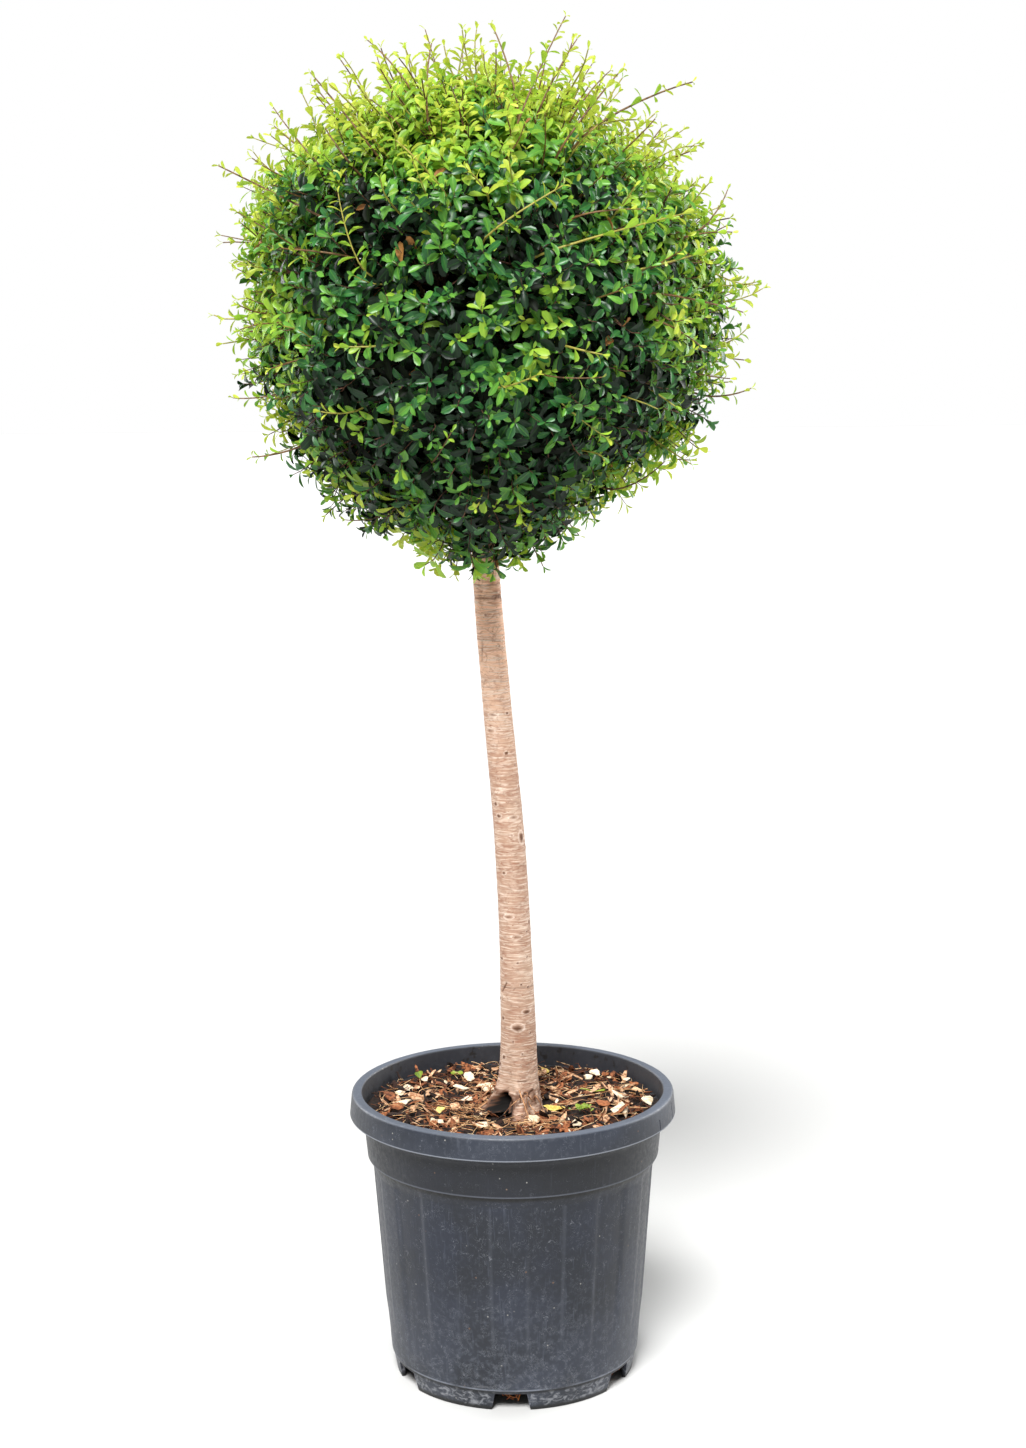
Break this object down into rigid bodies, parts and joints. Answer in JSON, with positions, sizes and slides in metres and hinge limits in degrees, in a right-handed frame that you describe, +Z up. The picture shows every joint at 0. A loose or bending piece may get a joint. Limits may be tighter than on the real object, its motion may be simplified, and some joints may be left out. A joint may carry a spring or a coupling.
{
  "type": "potted lollipop topiary shrub",
  "caption": "Evergreen shrub clipped to a ball on a clean leaning stem, standing in a round plastic nursery pot with bark mulch.",
  "frame": {"origin": "middle of the flat underside of the pot", "axes": "+Z up; the front faces -Y, and +X is to the right seen from the front"},
  "size_m": [0.4723, 0.4641, 1.2268],
  "materials": {
    "pot_plastic": "matt moulded polypropylene, dark blue-grey, weathered",
    "bark_mulch": "loose bark chips and fibres over potting compost",
    "trunk_bark": "pale tan bark with fine level striations",
    "bough_bark": "brown bark of younger wood",
    "leaves": "small half-gloss evergreen leaves"
  },
  "bodies": {
    "root": {"pot": "pot_plastic", "potting_mix": "bark_mulch", "trunk": "trunk_bark", "bough_lower_1": "bough_bark", "bough_lower_2": "bough_bark", "bough_lower_3": "bough_bark", "bough_lower_4": "bough_bark", "bough_lower_5": "bough_bark", "bough_upper_1": "bough_bark", "bough_upper_2": "bough_bark", "bough_upper_3": "bough_bark", "bough_upper_4": "bough_bark", "bough_upper_5": "bough_bark", "bough_top": "bough_bark", "foliage_lower_1": "leaves", "foliage_lower_2": "leaves", "foliage_lower_3": "leaves", "foliage_lower_4": "leaves", "foliage_lower_5": "leaves", "foliage_upper_1": "leaves", "foliage_upper_2": "leaves", "foliage_upper_3": "leaves", "foliage_upper_4": "leaves", "foliage_upper_5": "leaves", "foliage_top": "leaves"}
  },
  "joints": []
}
